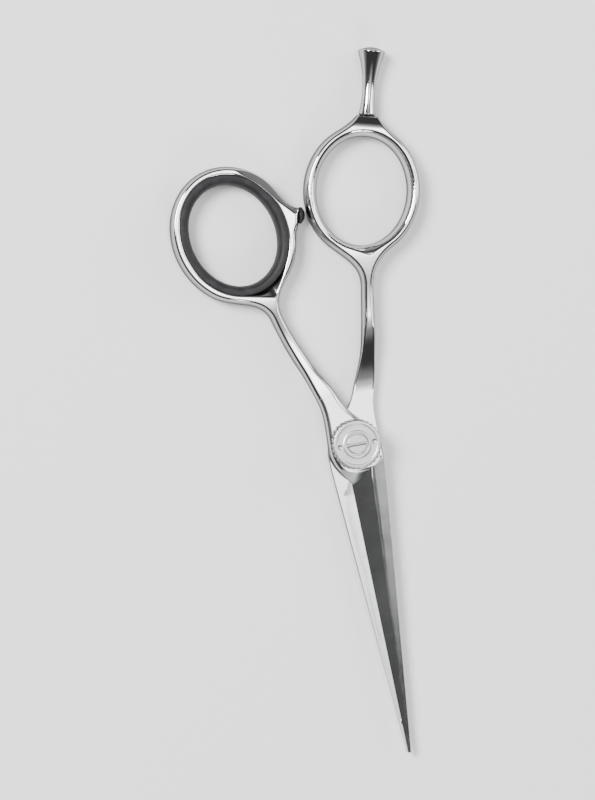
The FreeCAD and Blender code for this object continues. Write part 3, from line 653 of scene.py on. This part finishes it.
# %% [markdown]
# ## The thumb handle
#
# The same rule, with the thumb's numbers. An ear at the side faces the finger ring and holds the
# bumper. The piece is drawn on the wrong side and the wrong way up, and half a turn about the
# line along Y puts it right without turning any face inside out.

# %% Make the thumb handle
THUMB_CENTRE, THUMB_TURN = (19.7, 53.9), 16.0
EAR_TURN = 12.4
thumb_oval = Oval(THUMB_CENTRE, THUMB_TURN, 14.7, 16.8)
thumb_hole = Oval(THUMB_CENTRE, THUMB_TURN, 11.4, 13.6)
ear = np.array([3.35, 56.0])
across = heading(-EAR_TURN) * 1.75
thumb_plan = handle_plan(
    thumb_oval,
    [((4.6, WELD_Y), 20.0, 5.0), ((8.4, 20.5), 23.0, 3.3), ((12.9, 32.6), 15.0, 2.9)],
    319,
    240,
    (ear + across, ear - across),
    (heading(EAR_TURN - 120), heading(EAR_TURN + 155)),
    148,
    205,
)
print("outlines:", len(finger_plan), "and", len(thumb_plan), "points")
ear_facet = (np.array([4.9, 56.9]), heading(-46.0), math.radians(35))
thumb_rule = Handle(
    thumb_plan,
    thumb_hole,
    np.array([12.0, 37.6]),
    side_heights((20.5 + 32.6) / 2, 38.0),
    [ear_facet],
)


def turned_over(points):
    """Half a turn about the line along Y at middle height."""
    return np.asarray(points) * [-1, 1, -1] + [0, 0, 2 * MIDDLE]


points, quads, ways = solid_mesh(thumb_rule)
thumb_handle = new_piece("thumb_handle_skin", turned_over(points), quads)
print(f"thumb handle: {outward(thumb_handle):.0f} mm3")
shade_by(thumb_handle, np.asarray(ways) * [-1, 1, -1])
hand_over(thumb_handle, "thumb_handle")

# %% [markdown]
# ## The rubber insert
#
# The insert is one moulded ring that snaps into the thumb ring and makes its hole smaller. Its
# outside follows the steel's bevels, and its inside is a soft barrel. A ring of one section is
# easiest as a stack of ovals, each with its own size and height, joined row by row.

# %% Make the insert
def band(rows, around, closed=False):
    """Quads between rows of points; a closed band also joins the last row to the first."""
    faces = []
    for i in range(rows if closed else rows - 1):
        j = (i + 1) % rows
        for k in range(around):
            n = (k + 1) % around
            faces.append((i * around + k, i * around + n, j * around + n, j * around + k))
    return faces


def oval_stack(centre, turn, rows, around=220):
    """A closed ring through ovals given as (a, b, height)."""
    angles = np.linspace(0, 360, around, endpoint=False)
    points = []
    for a, b, z in rows:
        ring = Oval(centre, turn, a, b).point(angles)
        points.append(np.column_stack([ring, np.full(around, z)]))
    return np.vstack(points), band(len(rows), around, closed=True)


def insert_rows():
    rows = []
    for z in np.linspace(-3.02, 3.02, 27):
        lip = max(0.0, (abs(z) - 1.0) / 2.2) * 1.3
        rows.append((11.36 + lip, 13.56 + lip, MIDDLE + z))
    for turn in np.linspace(90, -90, 41):
        up, side = math.sin(math.radians(turn)), math.cos(math.radians(turn))
        bulge = side**0.55 if side > 1e-6 else 0.0
        rows.append((12.28 - 2.13 * bulge, 14.48 - 2.13 * bulge, MIDDLE + 3.08 * up))
    return rows


points, faces = oval_stack(THUMB_CENTRE, THUMB_TURN, insert_rows())
insert = new_piece("thumb_ring_rubber", turned_over(points), faces)
print(f"insert: {outward(insert):.0f} mm3")
hand_over(insert, "thumb_ring_insert")

# %% [markdown]
# ## Turned pieces
#
# The finger rest, the bumper and the lock screw are round. Each is a profile of radius against
# height, spun about its own axis. Corners of the profile are given a small radius first, because
# a real edge always catches a thin line of light.

# %% A lathe for round pieces
def eased(profile, radii, steps=7):
    """A profile whose corners are rounded by these radii."""
    profile = [np.asarray(p, float) for p in profile]
    points = []
    for i, corner in enumerate(profile):
        if i in (0, len(profile) - 1) or not radii.get(i):
            points.append(corner)
            continue
        before, after = profile[i - 1] - corner, profile[i + 1] - corner
        reach = min(radii[i], np.linalg.norm(before) * 0.49, np.linalg.norm(after) * 0.49)
        start = corner + before / np.linalg.norm(before) * reach
        stop = corner + after / np.linalg.norm(after) * reach
        for t in np.linspace(0, 1, steps):
            points.append(start * (1 - t) ** 2 + corner * 2 * t * (1 - t) + stop * t * t)
    return points


def lathe(profile, around=96):
    """Points and faces of a closed profile that starts and ends on the axis."""
    turn = np.linspace(0, 2 * math.pi, around, endpoint=False)
    rings = [p for p in profile if p[0] > 1e-6]
    points = [(r * math.cos(t), r * math.sin(t), z) for r, z in rings for t in turn]
    faces = band(len(rings), around)
    low, high = len(points), len(points) + 1
    points += [(0, 0, profile[0][1]), (0, 0, profile[-1][1])]
    last = (len(rings) - 1) * around
    for k in range(around):
        n = (k + 1) % around
        faces.append((low, n, k))
        faces.append((high, last + k, last + n))
    return np.array(points), faces


def placed(points, foot, axis):
    """Points of a piece drawn along +Z, moved to its foot and axis."""
    turn = Vector((0, 0, 1)).rotation_difference(Vector(axis)).to_matrix()
    return np.asarray(points) @ np.array(turn).T + np.asarray(foot)


# %% Make the finger rest
def dome(radius, rise, top, brim, count):
    """Points of a low dome, from its brim to just before its top."""
    full = (radius**2 + rise**2) / (2 * rise)
    out = np.linspace(brim, 0, count)[:-1]
    return [(r, top - full + math.sqrt(full**2 - r**2)) for r in out]


def rest_profile():
    """A straight stud, a short foot, a long flare like a trumpet's and a low dome."""
    waist, head, waist_at, head_at = 1.52, 3.2, 4.6, 14.9
    heights = np.linspace(0.2, head_at, 60)
    body = []
    for z in heights:
        below = ((waist_at - z) / waist_at) if z < waist_at else 0
        above = ((z - waist_at) / (head_at - waist_at)) if z > waist_at else 0
        body.append((waist + (2.03 - waist) * below**1.6 + (head - waist) * above**2.1, z))
    brim = [(head, 15.02), (head - 0.06, 15.2), (2.99, 15.33)]
    stud = [(0, -4.6), (1.0, -4.6), (1.25, -4.35), (1.25, 0), (1.9, 0), (2.03, 0.1)]
    return stud + body + brim + dome(2.95, 0.75, 16.1, 2.9, 16) + [(0, 16.1)]


rest_axis = np.array([*finger_oval.long, 0])
rest_foot = np.array([*(finger_oval.centre + finger_oval.long * 18.3), MIDDLE])
points, faces = lathe(rest_profile(), 112)
rest = new_piece("finger_rest_turned", placed(points, rest_foot, rest_axis), faces)
print(f"finger rest: {outward(rest):.0f} mm3")
hand_over(rest, "finger_rest")

# %% Make the bumper
bumper_profile = [(0, -2.9), (0.9, -2.9), (0.9, 0), (2.0, 0), (2.0, 0.65)]
bumper_profile += dome(2.0, 0.9, 1.55, 1.98, 18)
bumper_profile = eased(bumper_profile + [(0, 1.55)], {3: 0.15, 4: 0.25})
ear_way = np.array([*heading(90 + EAR_TURN), 0])
points, faces = lathe(bumper_profile, 72)
bumper = new_piece("bumper_moulded", placed(points, (-ear[0], ear[1], MIDDLE), ear_way), faces)
print(f"bumper: {outward(bumper):.1f} mm3")
hand_over(bumper, "bumper")

# %% [markdown]
# ## The knurled dial
#
# The dial is a cap with grooves cut round its rim. The grooves follow a rule, so they are made
# with Geometry Nodes: a smooth turned cap goes in, and each point of the rim is pushed inwards by
# an amount that depends only on its angle. Changing `Grooves` or `Depth` changes the knurl.

# %% A tree that cuts grooves into a turned rim
def start_tree(name, **inputs):
    """A tree with geometry in and out, these named inputs and a material."""
    tree = bpy.data.node_groups.new(name, "GeometryNodeTree")
    for label, kind in [("Geometry", "Geometry"), *inputs.items(), ("Metal", "Material")]:
        tree.interface.new_socket(
            label.replace("_", " "), in_out="INPUT", socket_type="NodeSocket" + kind
        )
    tree.interface.new_socket("Geometry", in_out="OUTPUT", socket_type="NodeSocketGeometry")
    return tree, tree.nodes.new("NodeGroupInput")


def end_tree(tree, given, shape):
    """Paints the shape with the tree's material and sends it out."""
    paint, result = tree.nodes.new("GeometryNodeSetMaterial"), tree.nodes.new("NodeGroupOutput")
    tree.links.new(shape, paint.inputs["Geometry"])
    tree.links.new(given.outputs["Metal"], paint.inputs["Material"])
    tree.links.new(paint.outputs[0], result.inputs[0])
    return tree


def groove_tree():
    tree, given = start_tree("rim grooves", Grooves="Float", Depth="Float", Rim_Radius="Float")
    nodes, links = tree.nodes, tree.links

    def math_node(operation, *values):
        made = nodes.new("ShaderNodeMath")
        made.operation = operation
        for socket, value in zip(made.inputs, values):
            if hasattr(value, "is_output"):
                links.new(value, socket)
            else:
                socket.default_value = value
        return made.outputs[0]

    place = nodes.new("GeometryNodeInputPosition").outputs[0]
    split = nodes.new("ShaderNodeSeparateXYZ")
    links.new(place, split.inputs[0])
    x, y = split.outputs[0], split.outputs[1]
    squares = math_node("MULTIPLY", x, x), math_node("MULTIPLY", y, y)
    radius = math_node("SQRT", math_node("ADD", *squares))
    angle = math_node("ARCTAN2", y, x)
    wave = math_node("COSINE", math_node("MULTIPLY", angle, given.outputs["Grooves"]))
    groove = math_node("POWER", math_node("MAXIMUM", wave, 0.0), 0.6)
    gap = math_node("SUBTRACT", given.outputs["Rim Radius"], radius)
    rim = math_node("MAXIMUM", math_node("SUBTRACT", 1.0, math_node("DIVIDE", gap, 0.0006)), 0.0)
    push = math_node("MULTIPLY", math_node("MULTIPLY", groove, rim), given.outputs["Depth"])
    share = math_node("DIVIDE", math_node("MULTIPLY", push, -1.0), radius)
    flat = nodes.new("ShaderNodeCombineXYZ")
    links.new(x, flat.inputs[0])
    links.new(y, flat.inputs[1])
    offset = nodes.new("ShaderNodeVectorMath")
    offset.operation = "SCALE"
    links.new(flat.outputs[0], offset.inputs[0])
    links.new(share, offset.inputs["Scale"])
    move = nodes.new("GeometryNodeSetPosition")
    links.new(given.outputs["Geometry"], move.inputs["Geometry"])
    links.new(offset.outputs[0], move.inputs["Offset"])
    real = nodes.new("GeometryNodeRealizeInstances")
    links.new(move.outputs[0], real.inputs[0])
    return end_tree(tree, given, real.outputs[0])


def plain_copy(piece):
    """Replaces a piece by a new one that holds the result of its modifiers as a plain mesh."""
    ready = piece.evaluated_get(bpy.context.evaluated_depsgraph_get())
    mesh = bpy.data.meshes.new_from_object(ready)
    name = piece.name
    bpy.data.objects.remove(piece)
    result = bpy.data.objects.new(name, mesh)
    bpy.context.collection.objects.link(result)
    return result


def run_tree(piece, tree, **values):
    """Runs a tree on a piece and returns the result as a new plain piece."""
    modifier = piece.modifiers.new(tree.name, "NODES")
    modifier.node_group = tree
    for item in tree.interface.items_tree:
        key = item.name.replace(" ", "_")
        if item.in_out == "INPUT" and key in values:
            modifier[item.identifier] = values[key]
    return plain_copy(piece)


# %% [markdown]
# The cap itself is hollow underneath, to cover the bearing, and has two small holes on top for a
# pin spanner. The holes are cut with the exact Boolean, and the cap stays closed.

# %% Make the dial
def tube(profile, around):
    """A lathe for a profile that never reaches the axis, closed into a ring."""
    turn = np.linspace(0, 2 * math.pi, around, endpoint=False)
    points = [(r * math.cos(t), r * math.sin(t), z) for r, z in profile for t in turn]
    return np.array(points), band(len(profile), around, closed=True)


def cut_with(piece, cutter):
    """Takes the cutter out of the piece and returns the result as a new plain piece."""
    modifier = piece.modifiers.new("cut", "BOOLEAN")
    modifier.operation, modifier.solver, modifier.object = "DIFFERENCE", "EXACT", cutter
    result = plain_copy(piece)
    bpy.data.objects.remove(cutter)
    return result


def soften(piece, degrees=32):
    """Smooth shading that keeps edges sharper than this."""
    piece.data.shade_smooth()
    piece.data.set_sharp_from_angle(angle=math.radians(degrees))


dial_profile = eased(
    [
        (2.7, 7.5), (4.9, 7.5), (4.9, 6.5), (5.7, 6.5), (6.0, 6.75), (6.0, 8.5),
        (5.6, 8.9), (4.95, 8.9), (4.8, 8.82), (3.4, 8.82), (3.2, 8.9), (2.7, 8.9), (2.7, 8.2),
    ],
    {3: 0.1, 4: 0.12, 5: 0.2, 6: 0.2, 7: 0.06, 8: 0.06, 9: 0.06, 10: 0.06, 11: 0.12},
)
points, faces = tube(dial_profile, 360)
dial = new_piece("knurled_dial", points, faces)
outward(dial)
dial = run_tree(
    dial, groove_tree(), Grooves=30.0, Depth=0.00026, Rim_Radius=0.006,
    Metal=FINISHES["hardware_steel"],
)
pins = []
for side in (-1, 1):
    points, faces = lathe([(0, 8.1), (0.55, 8.3), (0.55, 8.76), (0.75, 8.96), (0, 8.96)], 40)
    pins.append((points + [4.2 * side, 0, 0], faces))
both = np.vstack([pins[0][0], pins[1][0]])
shift = len(pins[0][0])
faces = pins[0][1] + [tuple(i + shift for i in f) for f in pins[1][1]]
cutter = new_piece("spanner_pins", both, faces)
outward(cutter)
dial = cut_with(dial, cutter)
soften(dial)
print(f"dial: {outward(dial):.0f} mm3")
hand_over(dial, "tension_dial")

# %% Make the lock screw
screw_profile = eased(
    [(0, 6.66), (0.8, 6.66), (0.8, 8.36), (2.35, 8.36), (2.35, 8.86), (1.9, 8.86), (0, 8.86)],
    {3: 0.05, 4: 0.22, 5: 0.05},
)
points, faces = lathe(screw_profile, 96)
screw = new_piece("lock_screw_turned", points, faces)
outward(screw)
sweep = [(0.42, 9.0), (-0.42, 9.0), (-0.42, 8.84), (-0.33, 8.78)]
sweep += [
    (0.33 * math.sin(math.radians(t)), 8.80 - 0.26 * math.cos(math.radians(t)))
    for t in range(-80, 81, 16)
]
sweep += [(0.33, 8.78), (0.42, 8.84)]
count = len(sweep)
corners = [(x, y, z) for x in (-3, 3) for y, z in sweep]
sides = [tuple(range(count)), tuple(range(2 * count - 1, count - 1, -1))]
sides += [(i, count + i, count + (i + 1) % count, (i + 1) % count) for i in range(count)]
slot = new_piece("slot_cutter", corners, sides, smooth=False)
outward(slot)
screw = cut_with(screw, slot)
soften(screw)
print(f"lock screw: {outward(screw):.1f} mm3")
hand_over(screw, "lock_screw")

# %% [markdown]
# ## The balls of the bearing
#
# Ten balls run between two races. They are one shape repeated round a circle, so a small tree
# puts a ball on each point of a circle, with the count and the sizes as inputs.

# %% A tree that sets balls round a circle
def ball_tree():
    tree, given = start_tree(
        "balls round a circle",
        Count="Int", Circle_Radius="Float", Ball_Radius="Float", Height="Float",
    )
    nodes, links = tree.nodes, tree.links
    circle = nodes.new("GeometryNodeMeshCircle")
    links.new(given.outputs["Count"], circle.inputs["Vertices"])
    links.new(given.outputs["Circle Radius"], circle.inputs["Radius"])
    ball = nodes.new("GeometryNodeMeshIcoSphere")
    ball.inputs["Subdivisions"].default_value = 4
    links.new(given.outputs["Ball Radius"], ball.inputs["Radius"])
    spread = nodes.new("GeometryNodeInstanceOnPoints")
    links.new(circle.outputs["Mesh"], spread.inputs["Points"])
    links.new(ball.outputs["Mesh"], spread.inputs["Instance"])
    lift = nodes.new("GeometryNodeTransform")
    up = nodes.new("ShaderNodeCombineXYZ")
    links.new(given.outputs["Height"], up.inputs["Z"])
    links.new(spread.outputs[0], lift.inputs["Geometry"])
    links.new(up.outputs[0], lift.inputs["Translation"])
    real = nodes.new("GeometryNodeRealizeInstances")
    links.new(lift.outputs[0], real.inputs[0])
    smooth = nodes.new("GeometryNodeSetShadeSmooth")
    links.new(real.outputs[0], smooth.inputs["Geometry"])
    return end_tree(tree, given, smooth.outputs[0])


seed = new_piece("bearing_ball_set", [(0, 0, 0)], [])
balls = run_tree(
    seed, ball_tree(), Count=10, Circle_Radius=0.0037, Ball_Radius=0.00044, Height=0.0061,
    Metal=FINISHES["hardware_steel"],
)
hand_over(balls, "bearing_balls")

# %% [markdown]
# ## Parts that keep the CAD's shape
#
# The blades are ground flat, so the CAD's faces are already right. A copy is merged, because a
# CAD mesh is loose triangles, and level triangles are joined into one face. Weighted normals then
# let each large face keep its own direction, so that flats mirror like flats and only the small
# faces of a rounding are blended.

# %% The blades and the flat hardware
def from_cad(node, name, degrees):
    piece = bpy.data.objects.new(name, frame["nodes"][node].data.copy())
    bpy.context.collection.objects.link(piece)
    work = bmesh.new()
    work.from_mesh(piece.data)
    bmesh.ops.remove_doubles(work, verts=work.verts, dist=0.000001)
    bmesh.ops.dissolve_limit(
        work, angle_limit=math.radians(0.4), verts=work.verts, edges=work.edges
    )
    work.to_mesh(piece.data)
    work.free()
    soften(piece, degrees)
    weigh = piece.modifiers.new("weigh", "WEIGHTED_NORMAL")
    weigh.weight, weigh.keep_sharp = 100, True
    piece = plain_copy(piece)
    hand_over(piece, node)
    return piece


for node in (
    "pivot_bolt", "glide_washer", "pivot_bush", "lower_race", "ball_cage", "upper_race",
    "cone_spring", "click_plate", "dial_nut", "finger_rest_washer",
):
    from_cad(node, node + "_finished", 30)

# %% [markdown]
# The bevels of a blade run out on a cone round the pivot. The CAD draws that cone with a few long
# triangles, so its corners are told which way a true cone faces there.

# %% The blades
RUN_OUT = 6.7


def shade_run_out(piece, lower):
    """Gives the corners of the cone round the pivot the directions of a true cone."""
    mesh = piece.data
    ways = [corner.vector.copy() for corner in mesh.corner_normals]
    done = 0
    for face in mesh.polygons:
        corners = []
        for index in face.vertices:
            x, y, z = mesh.vertices[index].co * 1000
            radius = math.hypot(x, y)
            depth = z if lower else 2 * MIDDLE - z
            if y > -2.8 or abs(radius - RUN_OUT - depth) > 0.02:
                break
            corners.append(Vector((x / radius, y / radius, -1 if lower else 1)).normalized())
        if len(corners) == len(face.vertices) and face.normal.dot(corners[0]) > 0.85:
            for loop, way in zip(face.loop_indices, corners):
                ways[loop] = way
            done += 1
    mesh.normals_split_custom_set(ways)
    print(f"{piece.name}: {done} faces of the run-out cone")


shade_run_out(from_cad("finger_blade", "finger_blade_ground", 24), lower=True)
shade_run_out(from_cad("thumb_blade", "thumb_blade_ground", 24), lower=False)

# %% [markdown]
# ## The table, the light and the camera
#
# Polished steel is only as good as what it reflects. The shears lie on a pale table. A large soft
# light hangs overhead, so level faces turn bright, and the room between the light and the table
# is dark, so each rounded side carries one dark line. The camera looks down, a little from the
# left, through a long lens.

# %% The table and the room
def table_top():
    half = 3.0
    mesh = bpy.data.meshes.new("table_top")
    corners = [(-half, -half, 0), (half, -half, 0), (half, half, 0), (-half, half, 0)]
    mesh.from_pydata(corners, [], [(0, 1, 2, 3)])
    top = bpy.data.objects.new("table_top", mesh)
    top.location.z = -0.00002
    bpy.context.collection.objects.link(top)
    finish = Finish("pale table", Roughness=0.6)
    cloud = finish.noise(3.0, 2.0)
    finish.set(Base_Color=finish.mix(cloud, (0.80, 0.80, 0.80, 1), (0.76, 0.76, 0.765, 1)))
    mesh.materials.append(finish.material)


def room():
    """A room seen only in reflections: a soft patch overhead, dark walls, a paler horizon."""
    world = bpy.data.worlds.new("room")
    world.use_nodes = True
    bpy.context.scene.world = world
    nodes, links = world.node_tree.nodes, world.node_tree.links
    nodes.clear()
    coords = nodes.new("ShaderNodeTexCoord")

    def patch(way, stops):
        """Light that depends on the angle from one direction, in parts of 90 degrees."""
        dot = nodes.new("ShaderNodeVectorMath")
        dot.operation = "DOT_PRODUCT"
        links.new(coords.outputs["Generated"], dot.inputs[0])
        dot.inputs[1].default_value = Vector(way).normalized()
        turn = nodes.new("ShaderNodeMath")
        turn.operation = "ARCCOSINE"
        links.new(dot.outputs["Value"], turn.inputs[0])
        share = nodes.new("ShaderNodeMath")
        share.operation = "DIVIDE"
        links.new(turn.outputs[0], share.inputs[0])
        share.inputs[1].default_value = math.pi / 2
        ramp = nodes.new("ShaderNodeValToRGB")
        ramp.color_ramp.interpolation = "EASE"
        ramp.color_ramp.elements.remove(ramp.color_ramp.elements[1])
        ramp.color_ramp.elements[0].color = (stops[0][1],) * 3 + (1,)
        for degrees, grey in stops[1:]:
            ramp.color_ramp.elements.new(degrees / 90).color = (grey, grey, grey, 1)
        links.new(share.outputs[0], ramp.inputs[0])
        return ramp.outputs[0]

    fading = [(0, 12.0), (4.5, 9.5), (8, 3.8), (13, 1.4), (20, 0.4), (32, 0.03)]
    overhead = patch((0.15, 0.09, 1), fading)
    walls = patch((0, 0, 1), [(0, 0.05), (55, 0.05), (76, 0.35), (90, 0.9)])
    total = nodes.new("ShaderNodeVectorMath")
    total.operation = "ADD"
    links.new(overhead, total.inputs[0])
    links.new(walls, total.inputs[1])
    back = nodes.new("ShaderNodeBackground")
    out = nodes.new("ShaderNodeOutputWorld")
    links.new(total.outputs[0], back.inputs[0])
    links.new(back.outputs[0], out.inputs[0])


def soft_light(name, place, target, width, depth, power):
    data = bpy.data.lights.new(name, "AREA")
    data.shape, data.size, data.size_y = "RECTANGLE", width, depth
    data.energy = power
    lamp = bpy.data.objects.new(name, data)
    lamp.location = place
    lamp.rotation_euler = (Vector(target) - Vector(place)).to_track_quat("-Z", "Y").to_euler()
    bpy.context.collection.objects.link(lamp)


table_top()
room()
soft_light("key", (-0.75, 0.55, 1.25), (0, 0.02, 0), 0.6, 0.6, 50)
soft_light("side", (1.25, 0.2, 0.75), (0, 0.02, 0), 0.9, 0.9, 18)
soft_light("front", (0.1, -1.3, 0.9), (0, 0.02, 0), 0.7, 0.4, 13)

# %% The camera
SHANK_TURN = math.radians(10.3)
right = Vector((math.cos(SHANK_TURN), -math.sin(SHANK_TURN), 0))
up = Vector((math.sin(SHANK_TURN), math.cos(SHANK_TURN), 0))
lean = math.radians(8)
away = (right * -math.sin(lean) + Vector((0, 0, 1)) * math.cos(lean)).normalized()
aim = (right * -0.0135 + up * 0.0105) + Vector((0, 0, 0.003))
camera_data = bpy.data.cameras.new("camera")
camera_data.lens = 170
DISTANCE = 0.9
camera_data.clip_start, camera_data.clip_end = 0.02, 20
camera = bpy.data.objects.new("camera", camera_data)
bpy.context.collection.objects.link(camera)
side = up.cross(away).normalized()
turn = Matrix((side, away.cross(side), away)).transposed()
camera.matrix_world = Matrix.Translation(aim + away * DISTANCE) @ turn.to_4x4()
bpy.context.scene.camera = camera
